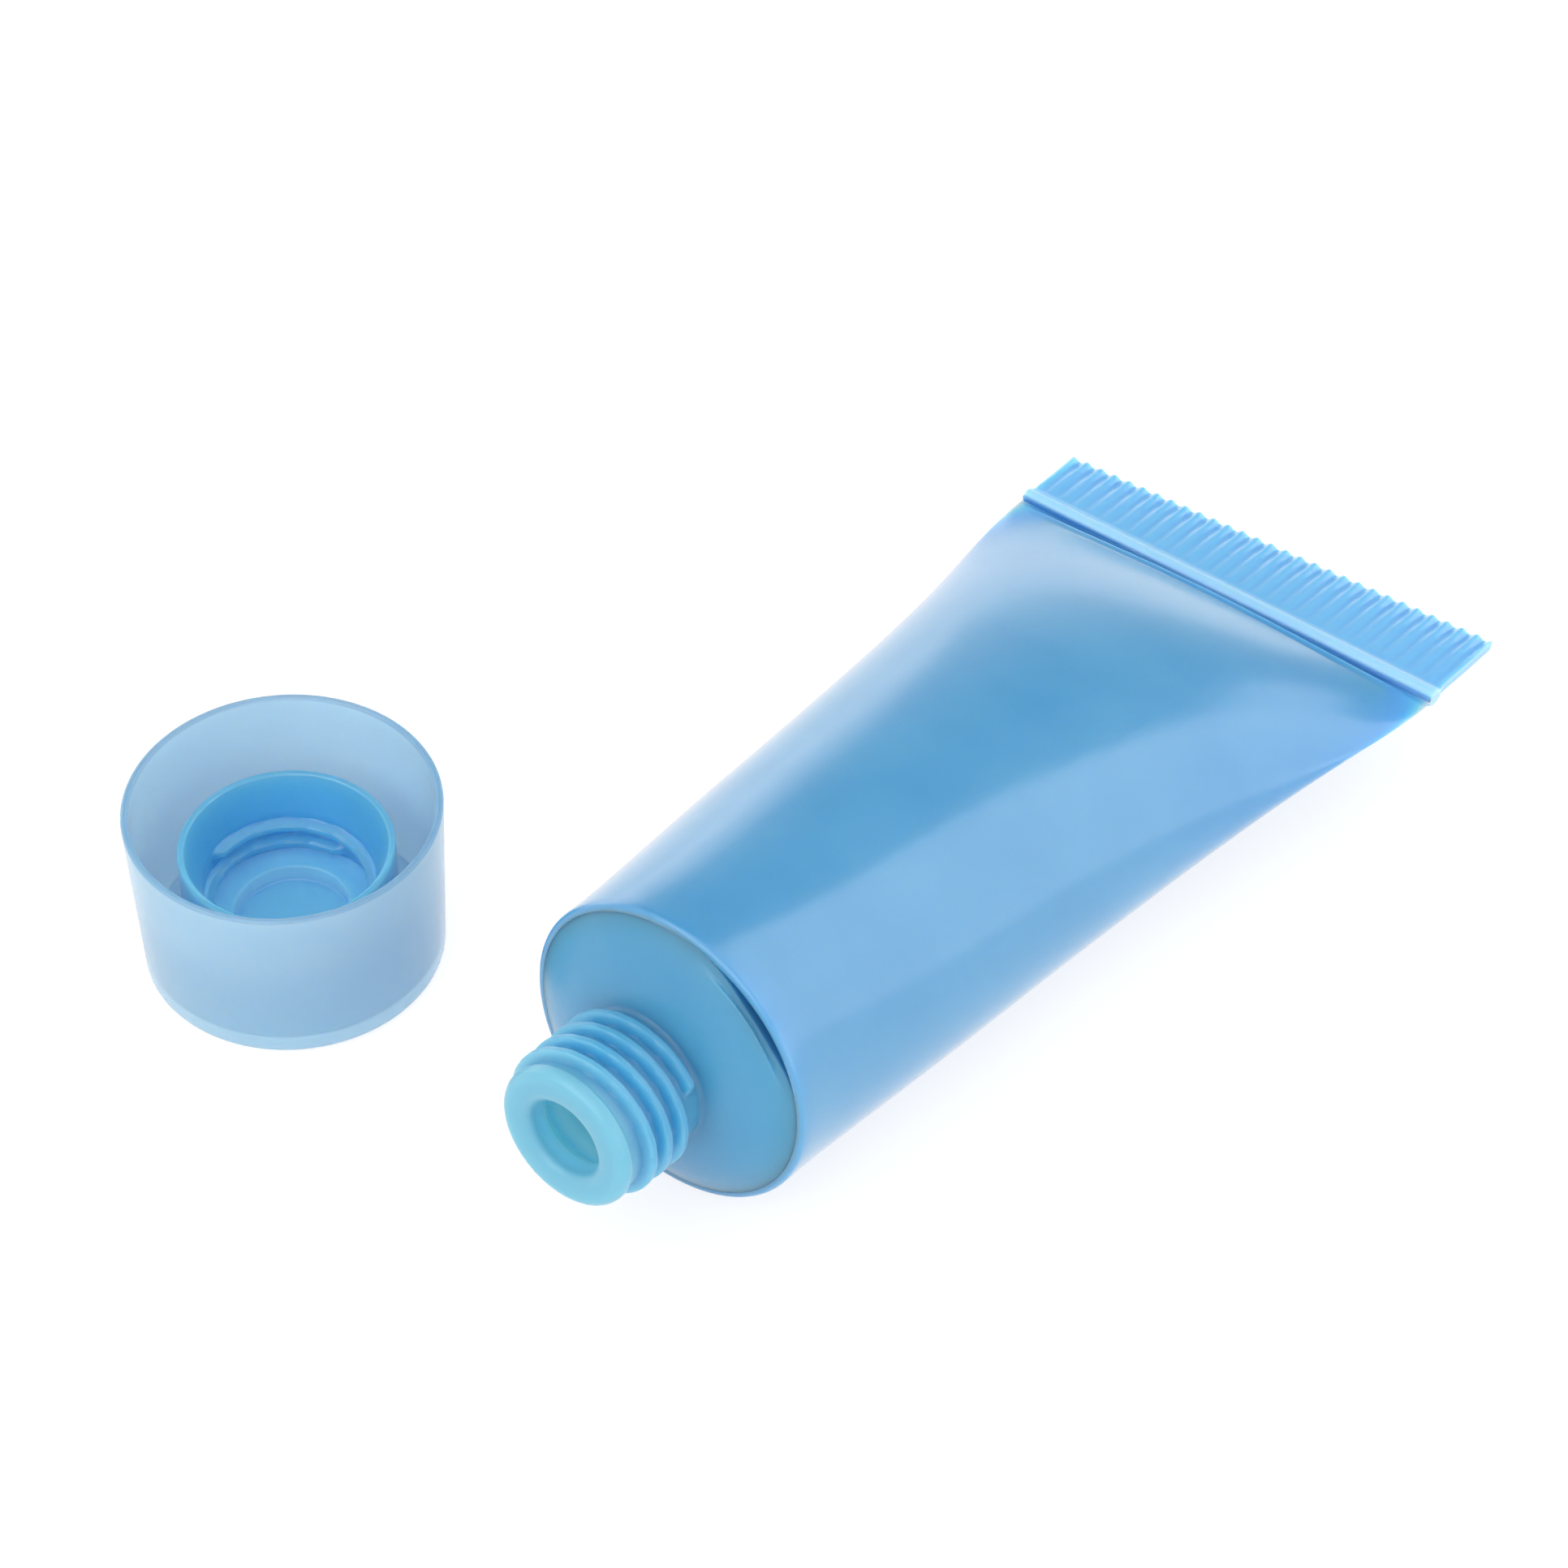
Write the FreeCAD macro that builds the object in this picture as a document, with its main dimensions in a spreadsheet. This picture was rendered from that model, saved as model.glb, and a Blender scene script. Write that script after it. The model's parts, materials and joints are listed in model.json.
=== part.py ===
import FreeCAD, Part
import Sketcher
import math
import os

from FreeCAD import Placement, Rotation, Vector

# Small squeeze tube of soft polyethylene, lying on its side with its screw cap beside it.
# Millimetres. Each piece is modelled about its own axis and then laid out on the ground, z = 0.
# The tube's length runs along +X from the neck to the heat seal.

# Driving dimensions: name, value, what it is.
SIZES = [
    ("tube_radius", 11.0, "outside radius of the sleeve where it is round"),
    ("sleeve_wall", 0.5, "film thickness of the sleeve"),
    ("sleeve_front", 0.3, "how far the sleeve stands in front of the shoulder plane"),
    ("sleeve_edge_round", 0.35, "rounding of the sleeve's front edge"),
    ("sleeve_round_len", 2.0, "length behind the shoulder plane that stays truly round"),
    ("sleeve_len", 60.0, "shoulder plane to the heat seal"),
    ("taper_share", 0.41, "share of its height that the sleeve loses before it closes"),
    ("taper_ease", 0.02, "share of the sleeve's length over which the taper sets in"),
    ("film_bow", 0.15, "how far the film draws in between the shoulder and its closing"),
    ("bow_end", 0.45, "share of the sleeve's length at which that bow has run out"),
    ("closing_power", 6.0, "how late the sleeve closes: higher keeps it open for longer"),
    ("fold_power", 6.0, "how late the sides of the section sharpen into folds"),
    ("seal_turn", 3.6, "degrees that the seal is turned about the tube's axis, -Y end up"),
    ("seal_spread", 1.2, "extra seal width pressed out by the jaws"),
    ("seal_turn_power", 2.0, "how late along the sleeve that turn comes in"),
    ("seal_skew", 0.66, "how far each end of the seal line runs ahead of or behind its middle"),
    ("seal_skew_power", 4.0, "how late along the sleeve that skew comes in"),
    ("seal_len", 6.15, "length of the pressed strip at its middle"),
    ("seal_end_skew", 0.25, "how much the strip is cut longer at -Y and shorter at +Y"),
    ("seal_thick", 0.8, "thickness of the pressed strip"),
    ("seal_rib_count", 29.0, "pressed ribs across the strip"),
    ("seal_rib_height", 0.3, "crest to valley of the pressed ribs"),
    ("seal_bead_rise", 0.08, "how far the bead along the seal line stands above the ribs"),
    ("seal_bead_overhang", 0.15, "how far the bead stands out past the film's side folds"),
    ("seal_strip_inset", 0.15, "how far the strip's cut ends stand in from the side folds"),
    ("seal_root", 0.15, "how far inside the bead the strip starts"),
    ("seal_web", 1.6, "solid film in front of the seal line, where the hollow ends"),
    ("fold_web", 3.0, "solid film at each side fold beside the seal"),
    ("shoulder_skirt_len", 2.0, "ring of the shoulder inside the sleeve, behind the shoulder plane"),
    ("shoulder_wall", 1.0, "wall of the shoulder"),
    ("shoulder_rise", 2.5, "height of the cone from the rim to the neck"),
    ("neck_radius", 4.85, "neck between the threads"),
    ("neck_wall", 0.95, "wall of the neck"),
    ("neck_height", 10.85, "shoulder plane to the face of the lip"),
    ("lip_rise", 0.25, "how far the lip stands out of the neck"),
    ("lip_len", 0.95, "length of the lip in front of its chamfer"),
    ("lip_round", 0.8, "rounding of the lip's outside edge"),
    ("root_round", 0.4, "rounding where the neck leaves the shoulder"),
    ("orifice_radius", 2.75, "hole in the lip"),
    ("orifice_len", 1.8, "length of the hole's straight wall"),
    ("thread_height", 0.7, "how far the thread stands out of the neck"),
    ("thread_pitch", 1.5, "advance of the thread in one turn"),
    ("thread_turns", 3.5, "turns on the neck"),
    ("thread_base", 1.0, "width of the thread at its foot"),
    ("thread_crest", 0.35, "width of the thread at its crest"),
    ("thread_lead", 1.85, "lip face to the middle of the thread's start"),
    ("thread_start_turn", 290.0, "degrees about the neck where the thread starts"),
    ("thread_sink_share", 0.33, "share of the wall that a thread's foot is sunk into"),
    ("cap_mouth_radius", 10.65, "outside radius of the skirt at its rim"),
    ("cap_end_radius", 10.05, "outside radius of the skirt at the closed end"),
    ("cap_height", 13.0, "closed end to rim"),
    ("cap_wall", 0.5, "wall of the skirt"),
    ("cap_floor", 1.1, "thickness of the closed end between skirt and boss"),
    ("cap_corner", 0.5, "rounding of the closed end's edge"),
    ("rim_round", 0.2, "rounding of the rim and of the boss"),
    ("boss_radius", 7.25, "outside radius of the inner boss"),
    ("boss_lip", 0.45, "width of the boss at its rim"),
    ("boss_lead_in", 2.6, "depth of the funnel that leads into the boss"),
    ("boss_drop", 3.8, "rim of the skirt to the rim of the boss"),
    ("thread_clearance", 0.25, "radial play between the neck and the boss"),
    ("seat_depth", 9.7, "rim of the skirt to the ring that seals on the lip"),
    ("seat_inner_radius", 3.9, "inside radius of the sealing ring"),
    ("disc_depth", 10.9, "rim of the skirt to the disc inside the sealing ring"),
    ("cap_thread_turns", 1.3, "turns inside the boss"),
    ("cap_thread_lead", 3.3, "rim of the boss to the middle of the thread's start"),
    ("cap_across", 33.0, "tube's axis to the cap's axis"),
    ("cap_along", -0.3, "shoulder plane to the cap's axis"),
]

# How finely the free-form sleeve is drawn.
LOFT_STEPS = 14
LOFT_CROWDING = 0.35
SECTION_POINTS = 40
PERIMETER_STEPS = 180
HALVINGS = 40
BELLY_STEPS = 200

doc = FreeCAD.newDocument("squeeze_tube")
sheet = doc.addObject("Spreadsheet::Sheet", "sizes")
for row, (name, value, note) in enumerate(SIZES, start=1):
    sheet.set("A%d" % row, name)
    sheet.set("B%d" % row, str(value))
    sheet.set("C%d" % row, note)
    sheet.setAlias("B%d" % row, name)
doc.recompute()


def size(name):
    """A driving dimension, read from the sheet."""
    return float(sheet.get(name))


# ---------------------------------------------------------------- sketched, turned pieces

def origin_part(body, role):
    """An origin plane or axis of the body, by its role."""
    for feature in body.Origin.OriginFeatures:
        if feature.Role == role:
            return feature
    raise RuntimeError("no origin feature " + role)


def closed_sketch(body, name, corners):
    """A closed outline on the body's XZ plane. Each corner is (radius, height), as expressions."""
    sketch = body.newObject("Sketcher::SketchObject", name)
    sketch.AttachmentSupport = [(origin_part(body, "XZ_Plane"), "")]
    sketch.MapMode = "FlatFace"
    start = [(i + 1.0, 0.1 * i * i) for i in range(len(corners))]
    for i, (x, y) in enumerate(start):
        x_next, y_next = start[(i + 1) % len(start)]
        sketch.addGeometry(Part.LineSegment(Vector(x, y, 0), Vector(x_next, y_next, 0)), False)
    count = len(corners)
    for i in range(count):
        sketch.addConstraint(Sketcher.Constraint("Coincident", i, 2, (i + 1) % count, 1))
    for i, corner in enumerate(corners):
        for kind, expression in zip(("DistanceX", "DistanceY"), corner):
            if expression == "0":
                axis = -2 if kind == "DistanceX" else -1
                sketch.addConstraint(Sketcher.Constraint("PointOnObject", i, 1, axis))
                continue
            index = sketch.addConstraint(Sketcher.Constraint(kind, -1, 1, i, 1, 1.0))
            sketch.setExpression("Constraints[%d]" % index, expression)
    doc.recompute()
    return sketch


def turned_body(name, corners):
    """A body turned about its own Z axis from a closed outline."""
    body = doc.addObject("PartDesign::Body", name)
    body.Label = name
    sketch = closed_sketch(body, name + "_outline", corners)
    turn = body.newObject("PartDesign::Revolution", name + "_turn")
    turn.Profile = sketch
    turn.ReferenceAxis = (sketch, ["V_Axis"])
    turn.Angle = 360.0
    doc.recompute()
    return body


def ring_edges(shape, radius, height):
    """Names of the round edges of that radius at that height."""
    names = []
    for i, edge in enumerate(shape.Edges, start=1):
        curve = edge.Curve
        if not isinstance(curve, Part.Circle):
            continue
        if abs(curve.Radius - radius) < 0.01 and abs(curve.Center.z - height) < 0.01:
            names.append("Edge%d" % i)
    if not names:
        raise RuntimeError("no edge of radius %.3f at height %.3f" % (radius, height))
    return names


def round_edges(body, name, rings, radius_name):
    """A fillet on ring edges, each given as (radius, height)."""
    base = body.Tip
    names = []
    for radius, height in rings:
        names += ring_edges(base.Shape, radius, height)
    fillet = body.newObject("PartDesign::Fillet", name)
    fillet.Base = (base, names)
    fillet.setExpression("Radius", "sizes." + radius_name)
    doc.recompute()


def thread_ridge(root_radius, height, turns, start_height, start_turn, inward, sink):
    """A right-hand thread ridge about Z, climbing down from start_height, sunk into its wall."""
    pitch = size("thread_pitch")
    base = size("thread_base") / 2
    crest = size("thread_crest") / 2
    way = -1.0 if inward else 1.0
    foot = root_radius - way * sink
    top = root_radius + way * height
    corners = [(foot, -base), (root_radius, -base), (top, -crest), (top, crest),
               (root_radius, base), (foot, base)]
    points = [Vector(r, 0, z) for r, z in corners]
    section = Part.makePolygon(points + points[:1])
    spine = Part.makeHelix(pitch, pitch * turns, root_radius)
    ridge = Part.Wire(spine).makePipeShell([section], True, True)
    ridge.Placement = Placement(Vector(0, 0, start_height - pitch * turns),
                                Rotation(Vector(0, 0, 1), start_turn))
    return ridge


# ---------------------------------------------------------------- shoulder and neck

def make_shoulder_neck():
    """Moulded head: a ring inside the sleeve, a cone, and the neck. Z points out of the neck."""
    body = turned_body("neck_turning", [
        ("sizes.tube_radius - sizes.sleeve_wall - sizes.shoulder_wall", "0"),
        ("sizes.tube_radius - sizes.sleeve_wall", "0"),
        ("sizes.tube_radius - sizes.sleeve_wall",
         "sizes.shoulder_skirt_len + sizes.sleeve_front"),
        ("sizes.neck_radius",
         "sizes.shoulder_skirt_len + sizes.sleeve_front + sizes.shoulder_rise"),
        ("sizes.neck_radius",
         "sizes.shoulder_skirt_len + sizes.neck_height - sizes.lip_len - sizes.lip_rise"),
        ("sizes.neck_radius + sizes.lip_rise",
         "sizes.shoulder_skirt_len + sizes.neck_height - sizes.lip_len"),
        ("sizes.neck_radius + sizes.lip_rise",
         "sizes.shoulder_skirt_len + sizes.neck_height"),
        ("sizes.orifice_radius", "sizes.shoulder_skirt_len + sizes.neck_height"),
        ("sizes.orifice_radius",
         "sizes.shoulder_skirt_len + sizes.neck_height - sizes.orifice_len"),
        ("sizes.neck_radius - sizes.neck_wall",
         "sizes.shoulder_skirt_len + sizes.neck_height - sizes.orifice_len"
         " - (sizes.neck_radius - sizes.neck_wall - sizes.orifice_radius)"),
        ("sizes.neck_radius - sizes.neck_wall",
         "sizes.shoulder_skirt_len + sizes.sleeve_front + sizes.shoulder_rise"
         " - sizes.shoulder_wall"),
        ("sizes.tube_radius - sizes.sleeve_wall - sizes.shoulder_wall",
         "sizes.shoulder_skirt_len + sizes.sleeve_front - sizes.shoulder_wall"),
    ])
    skirt = size("shoulder_skirt_len")
    lip = skirt + size("neck_height")
    root = skirt + size("sleeve_front") + size("shoulder_rise")
    round_edges(body, "lip_fillet", [(size("neck_radius") + size("lip_rise"), lip)], "lip_round")
    round_edges(body, "root_fillet", [(size("neck_radius"), root)], "root_round")
    ridge = thread_ridge(size("neck_radius"), size("thread_height"), size("thread_turns"),
                         lip - size("thread_lead"), size("thread_start_turn"),
                         inward=False, sink=size("neck_wall") * size("thread_sink_share"))
    return joined("shoulder_neck", body, ridge)


def joined(name, body, ridge):
    """The turned body with its thread ridge, as one moulding."""
    thread = doc.addObject("Part::Feature", name + "_thread")
    thread.Shape = ridge
    moulding = doc.addObject("Part::Fuse", name)
    moulding.Base = body
    moulding.Tool = thread
    moulding.Refine = False
    moulding.Label = name
    doc.recompute()
    return moulding


# ---------------------------------------------------------------- screw cap

def make_screw_cap():
    """Flush cap, standing on its closed end with its mouth up: skirt, end and threaded boss."""
    boss_bore = "sizes.neck_radius + sizes.thread_height + sizes.thread_clearance"
    body = turned_body("cap_turning", [
        ("0", "0"),
        ("sizes.cap_end_radius", "0"),
        ("sizes.cap_mouth_radius", "sizes.cap_height"),
        ("sizes.cap_mouth_radius - sizes.cap_wall", "sizes.cap_height"),
        ("sizes.cap_end_radius - sizes.cap_wall", "sizes.cap_floor"),
        ("sizes.boss_radius", "sizes.cap_floor"),
        ("sizes.boss_radius", "sizes.cap_height - sizes.boss_drop"),
        ("sizes.boss_radius - sizes.boss_lip", "sizes.cap_height - sizes.boss_drop"),
        (boss_bore, "sizes.cap_height - sizes.boss_drop - sizes.boss_lead_in"),
        (boss_bore, "sizes.cap_height - sizes.seat_depth"),
        ("sizes.seat_inner_radius", "sizes.cap_height - sizes.seat_depth"),
        ("sizes.seat_inner_radius", "sizes.cap_height - sizes.disc_depth"),
        ("0", "sizes.cap_height - sizes.disc_depth"),
    ])
    height = size("cap_height")
    boss_top = height - size("boss_drop")
    bore = size("neck_radius") + size("thread_height") + size("thread_clearance")
    mouth = size("cap_mouth_radius")
    round_edges(body, "end_fillet", [(size("cap_end_radius"), 0.0)], "cap_corner")
    round_edges(body, "rim_fillet",
                [(mouth, height), (mouth - size("cap_wall"), height),
                 (size("boss_radius"), boss_top),
                 (size("boss_radius") - size("boss_lip"), boss_top)], "rim_round")
    ridge = thread_ridge(bore, size("thread_height"), size("cap_thread_turns"),
                         boss_top - size("cap_thread_lead"), 0.0,
                         inward=True,
                         sink=(size("boss_radius") - bore) * size("thread_sink_share"))
    return joined("screw_cap", body, ridge)


# ---------------------------------------------------------------- sleeve

def section_height(share):
    """Half height of the sleeve at a share of its length: a bowed taper, then a late closing."""
    ease = size("taper_ease")
    eased = share - ease * (1.0 - math.exp(-share / ease))
    bow = size("film_bow") * math.sin(math.pi * min(share / size("bow_end"), 1.0)) ** 2
    closing = 1.0 - share ** size("closing_power")
    return (size("tube_radius") * (1.0 - size("taper_share") * eased) - bow) * closing


def section_point(half_width, half_height, lens, angle):
    """A point of a cross-section that turns from an ellipse into a pointed lens."""
    rise = math.sin(angle)
    return half_width * math.cos(angle), half_height * rise * abs(rise) ** lens


def perimeter(half_width, half_height, lens):
    """Length round a cross-section."""
    total = 0.0
    last = section_point(half_width, half_height, lens, 0.0)
    for i in range(1, PERIMETER_STEPS + 1):
        angle = 2 * math.pi * i / PERIMETER_STEPS
        point = section_point(half_width, half_height, lens, angle)
        total += math.hypot(point[0] - last[0], point[1] - last[1])
        last = point
    return total


def section_width(share, half_height, lens):
    """Half width that keeps the film's length round the section."""
    film = 2 * math.pi * size("tube_radius") + 2 * size("seal_spread") * share
    low = half_height / 2
    high = film / 4 + size("sleeve_wall")
    for _ in range(HALVINGS):
        middle = (low + high) / 2
        if perimeter(middle, half_height, lens) > film:
            high = middle
        else:
            low = middle
    return low


def seal_half_width():
    """Half the width of the flattened film at the seal line."""
    return section_width(1.0, size("seal_thick") / 2, 1.0)


def sleeve_section(along, inset, fold):
    """A closed curve round the sleeve. The hollow's is inset by the film and by its side folds."""
    start = size("sleeve_round_len")
    share = (along - start) / (size("sleeve_len") - start)
    lens = share ** size("fold_power")
    half_height = max(section_height(share), size("seal_thick") / 2)
    half_width = section_width(share, half_height, lens)
    turn = math.radians(size("seal_turn")) * share ** size("seal_turn_power")
    skew = size("seal_skew") * share ** size("seal_skew_power")
    points = []
    for i in range(SECTION_POINTS):
        angle = 2 * math.pi * (i + 0.5) / SECTION_POINTS
        across, up = section_point(half_width - inset - fold * lens, half_height - inset,
                                   lens, angle)
        points.append(Vector(along + skew * across / half_width,
                             across * math.cos(turn) + up * math.sin(turn),
                             up * math.cos(turn) - across * math.sin(turn)))
    knots = [i / SECTION_POINTS for i in range(SECTION_POINTS + 1)]
    curve = Part.BSplineCurve()
    curve.interpolate(Points=points, Parameters=knots, PeriodicFlag=True)
    return Part.Wire([curve.toShape()])


def sleeve_loft(inset, fold, end):
    """The film's outside, or its hollow: a straight round stretch, then on to the given place."""
    start = size("sleeve_round_len")
    wires = []
    for i in range(LOFT_STEPS + 1):
        share = i / LOFT_STEPS
        crowded = share * (1.0 + LOFT_CROWDING * (1.0 - share))
        wires.append(sleeve_section(start + (end - start) * crowded, inset, fold))
    straight = Part.Face(wires[0]).extrude(Vector(-start - size("sleeve_front"), 0, 0))
    return straight.fuse(Part.makeLoft(wires, True, False))


def seal_strip():
    """The pressed strip: a plate folded into ribs that run along the tube."""
    half_width = seal_half_width() - size("seal_strip_inset")
    count = int(round(size("seal_rib_count")))
    start = size("sleeve_len") - size("seal_root")
    end = size("sleeve_len") + size("seal_len")
    wires = []
    for along, skew in ((start, size("seal_skew")), (end, -size("seal_end_skew"))):
        top = []
        bottom = []
        for i in range(2 * count + 1):
            across = -half_width + half_width * i / count
            wave = size("seal_rib_height") / 2 * (1 if i % 2 else -1)
            x = along + skew * across / half_width
            top.append(Vector(x, across, wave + size("seal_thick") / 2))
            bottom.append(Vector(x, across, wave - size("seal_thick") / 2))
        loop = top + bottom[::-1]
        wires.append(Part.makePolygon(loop + loop[:1]))
    return Part.makeLoft(wires, True, True)


def seal_bead():
    """A rounded bead along the seal line."""
    half_width = seal_half_width() + size("seal_bead_overhang")
    skew = size("seal_skew") * half_width / seal_half_width()
    reach = Vector(2 * skew, 2 * half_width, 0)
    foot = Vector(size("sleeve_len") - skew, -half_width, 0)
    radius = size("seal_thick") / 2 + size("seal_rib_height") / 2 + size("seal_bead_rise")
    return Part.makeCylinder(radius, reach.Length, foot, reach)


def make_tube_sleeve():
    """Extruded sleeve: round at the shoulder, pressed flat and welded at its tail."""
    film = sleeve_loft(0.0, 0.0, size("sleeve_len"))
    front = [e for e in film.Edges
             if abs(e.BoundBox.XMax + size("sleeve_front")) < 0.001]
    film = film.makeFillet(size("sleeve_edge_round"), front)
    hollow_end = size("sleeve_len") - size("seal_web")
    film = film.cut(sleeve_loft(size("sleeve_wall"), size("fold_web"), hollow_end))
    turn = Placement(Vector(0, 0, 0), Rotation(Vector(-1, 0, 0), size("seal_turn")))
    tail = seal_strip().fuse(seal_bead())
    tail.Placement = turn
    sleeve = film.fuse(tail)
    piece = doc.addObject("Part::Feature", "tube_sleeve")
    piece.Label = "tube_sleeve"
    piece.Shape = sleeve.Solids[0] if len(sleeve.Solids) == 1 else sleeve
    return piece


# ---------------------------------------------------------------- layout on the ground

def rest_tilt():
    """Degrees that the tube tips towards its tail until both ends of its bowed belly touch."""
    length = size("sleeve_len") - size("sleeve_round_len")
    bow_middle = size("bow_end") / 2
    front = []
    rear = []
    for i in range(BELLY_STEPS):
        share = i / BELLY_STEPS
        drop = size("tube_radius") - section_height(share)
        (front if share < bow_middle else rear).append((share * length, drop))
    low = 0.0
    high = 1.0
    for _ in range(HALVINGS):
        slope = (low + high) / 2
        front_gap = min(drop - slope * along for along, drop in front)
        rear_gap = min(drop - slope * along for along, drop in rear)
        if front_gap < rear_gap:
            low = slope
        else:
            high = slope
    return math.degrees(math.atan(low))


def exact_box(shapes):
    """The box round some shapes."""
    box = FreeCAD.BoundBox()
    for shape in shapes:
        box.add(shape.optimalBoundingBox(False, False))
    return box


sleeve = make_tube_sleeve()
shoulder = make_shoulder_neck()
cap = make_screw_cap()

tilt = Rotation(Vector(0, 1, 0), rest_tilt())
head_turn = Rotation(Vector(0, 1, 0), -90.0)
head_seat = Placement(Vector(size("shoulder_skirt_len"), 0, 0), head_turn)
tube_place = Placement(Vector(0, 0, 0), tilt)
cap_place = Placement(Vector(size("cap_along"), size("cap_across"), 0), Rotation())


def lay_out(shift):
    """Places the three pieces, all moved by one shift."""
    move = Placement(shift, Rotation())
    sleeve.Placement = move.multiply(tube_place)
    shoulder.Placement = move.multiply(tube_place).multiply(head_seat)
    cap.Placement = move.multiply(cap_place)


pieces = [sleeve, shoulder, cap]
lay_out(Vector(0, 0, 0))
lift = -exact_box([sleeve.Shape, shoulder.Shape]).ZMin
tube_place = Placement(Vector(0, 0, lift), tilt)
lay_out(Vector(0, 0, 0))
whole = exact_box([piece.Shape for piece in pieces])
lay_out(Vector(-whole.Center.x, -whole.Center.y, 0))

# ---------------------------------------------------------------- checks and files

for item in doc.Objects:
    if "Invalid" in item.State or "Error" in item.State:
        raise RuntimeError("%s failed: %s" % (item.Name, item.State))
for piece in pieces:
    shape = piece.Shape
    if shape.isNull() or not shape.isValid() or len(shape.Solids) != 1:
        raise RuntimeError("%s has a bad shape" % piece.Label)

os.makedirs("parts", exist_ok=True)
for piece in pieces:
    piece.Shape.exportStep(os.path.join("parts", piece.Label + ".step"))
    box = exact_box([piece.Shape])
    print("%s: %.3f cm3, x %.2f..%.2f, y %.2f..%.2f, z %.2f..%.2f"
          % (piece.Label, piece.Shape.Volume / 1000, box.XMin, box.XMax,
             box.YMin, box.YMax, box.ZMin, box.ZMax))

lip_place = shoulder.Placement.multVec(Vector(0, 0, size("shoulder_skirt_len") + size("neck_height")))
lip_axis = shoulder.Placement.Rotation.multVec(Vector(0, 0, 1))
print("lip face centre", lip_place, "axis", lip_axis)
print("cap centre", cap.Placement.Base)
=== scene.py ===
import json
import math

import bpy
from mathutils import Matrix, Vector


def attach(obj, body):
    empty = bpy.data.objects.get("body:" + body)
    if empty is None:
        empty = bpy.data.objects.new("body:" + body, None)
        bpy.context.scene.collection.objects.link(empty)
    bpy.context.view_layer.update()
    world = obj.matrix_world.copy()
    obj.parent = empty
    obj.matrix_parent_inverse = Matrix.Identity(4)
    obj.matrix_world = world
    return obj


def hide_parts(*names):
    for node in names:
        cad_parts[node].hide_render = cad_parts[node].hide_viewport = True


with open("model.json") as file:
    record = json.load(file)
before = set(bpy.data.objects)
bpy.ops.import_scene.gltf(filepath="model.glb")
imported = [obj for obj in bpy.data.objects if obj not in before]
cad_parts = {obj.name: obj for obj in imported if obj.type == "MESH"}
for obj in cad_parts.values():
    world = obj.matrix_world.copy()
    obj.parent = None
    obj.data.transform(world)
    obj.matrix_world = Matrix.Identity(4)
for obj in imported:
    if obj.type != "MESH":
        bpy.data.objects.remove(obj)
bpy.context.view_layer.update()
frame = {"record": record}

# A small squeeze tube of soft polyethylene lying on its side, with its screw cap beside it.
# Millimetres in the working, metres in the meshes.
MM = 0.001

# ---------------------------------------------------------------- sizes

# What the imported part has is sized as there, but the tube's and the cap's radius and the
# seal's length are 0.01 less, so that the finished pieces stay inside its box. The dome, the
# crest, the groove, the weld's gap and the smallest roundings are only here.

# The sleeve. It stands a little in front of the shoulder plane, and is round for its first
# stretch. From there its height tapers, with a slight bow, and closes late.
TUBE_RADIUS = 10.99
SLEEVE_WALL = 0.5
SLEEVE_FRONT = 0.3
SLEEVE_EDGE_ROUND = 0.35
SLEEVE_ROUND_LEN = 2.0
SLEEVE_LEN = 60.0
TAPER_SHARE = 0.41
TAPER_EASE = 0.02
FILM_BOW = 0.15
BOW_END = 0.45
CLOSING_POWER = 6.0
FOLD_POWER = 6.0

# The seal is turned a little about the tube's axis, runs askew, and is pressed a little
# wider than the film is.
SEAL_TURN = math.radians(3.6)
SEAL_TURN_POWER = 2.0
SEAL_SKEW = 0.66
SEAL_SKEW_POWER = 4.0
SEAL_SPREAD = 1.2
SEAL_LEN = 6.14
SEAL_END_SKEW = 0.25
SEAL_THICK = 0.8
SEAL_END_THIN = 0.85
SEAL_STRIP_INSET = 0.15
SEAL_BEAD_RADIUS = 0.63

# The ribs pressed into the seal start past the bead, soft at first and full at the end.
SEAL_RIBS = 29
SEAL_RIB_HEIGHT = 0.3
RIB_START = 0.3
RIB_FROM = 0.7
RIB_FULL = 1.3

# The upper film's crest in front of the seal, nearest to it at the folds and farthest from it
# in the middle, and the groove between the crest and the bead.
CREST_HEIGHT = 0.3
CREST_REACH = 0.3
CREST_SPAN = 3 * CREST_REACH
CREST_NEAREST = 0.25
CREST_FARTHEST = 1.4
GROOVE_DEPTH = 0.4

# Solid webs where the hollow ends: before the seal, and in each side fold.
SEAL_WEB = 1.6
FOLD_WEB = 3.0

# The head: a ring inside the sleeve, a domed shoulder, the neck and its lip.
SKIRT_LEN = 2.0
SHOULDER_WALL = 1.0
SHOULDER_RISE = 2.5
SHOULDER_BULGE = 0.3
DOME_ROUND = 12.0
NECK_RADIUS = 4.85
NECK_WALL = 0.95
NECK_HEIGHT = 10.85
LIP_RISE = 0.25
LIP_LEN = 0.95
LIP_ROUND = 0.8
LIP_FOOT_ROUND = 0.2
LIP_STEP_ROUND = 0.15
ROOT_ROUND = 0.4
HEAD_EDGE_ROUND = 0.12
HEAD_FINE_ROUND = 0.1
HEAD_INSIDE_ROUND = 0.3
ORIFICE_RADIUS = 2.75
ORIFICE_LEN = 1.8
ORIFICE_ROUND = 0.7
THROAT_ROUND = 0.2

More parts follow.
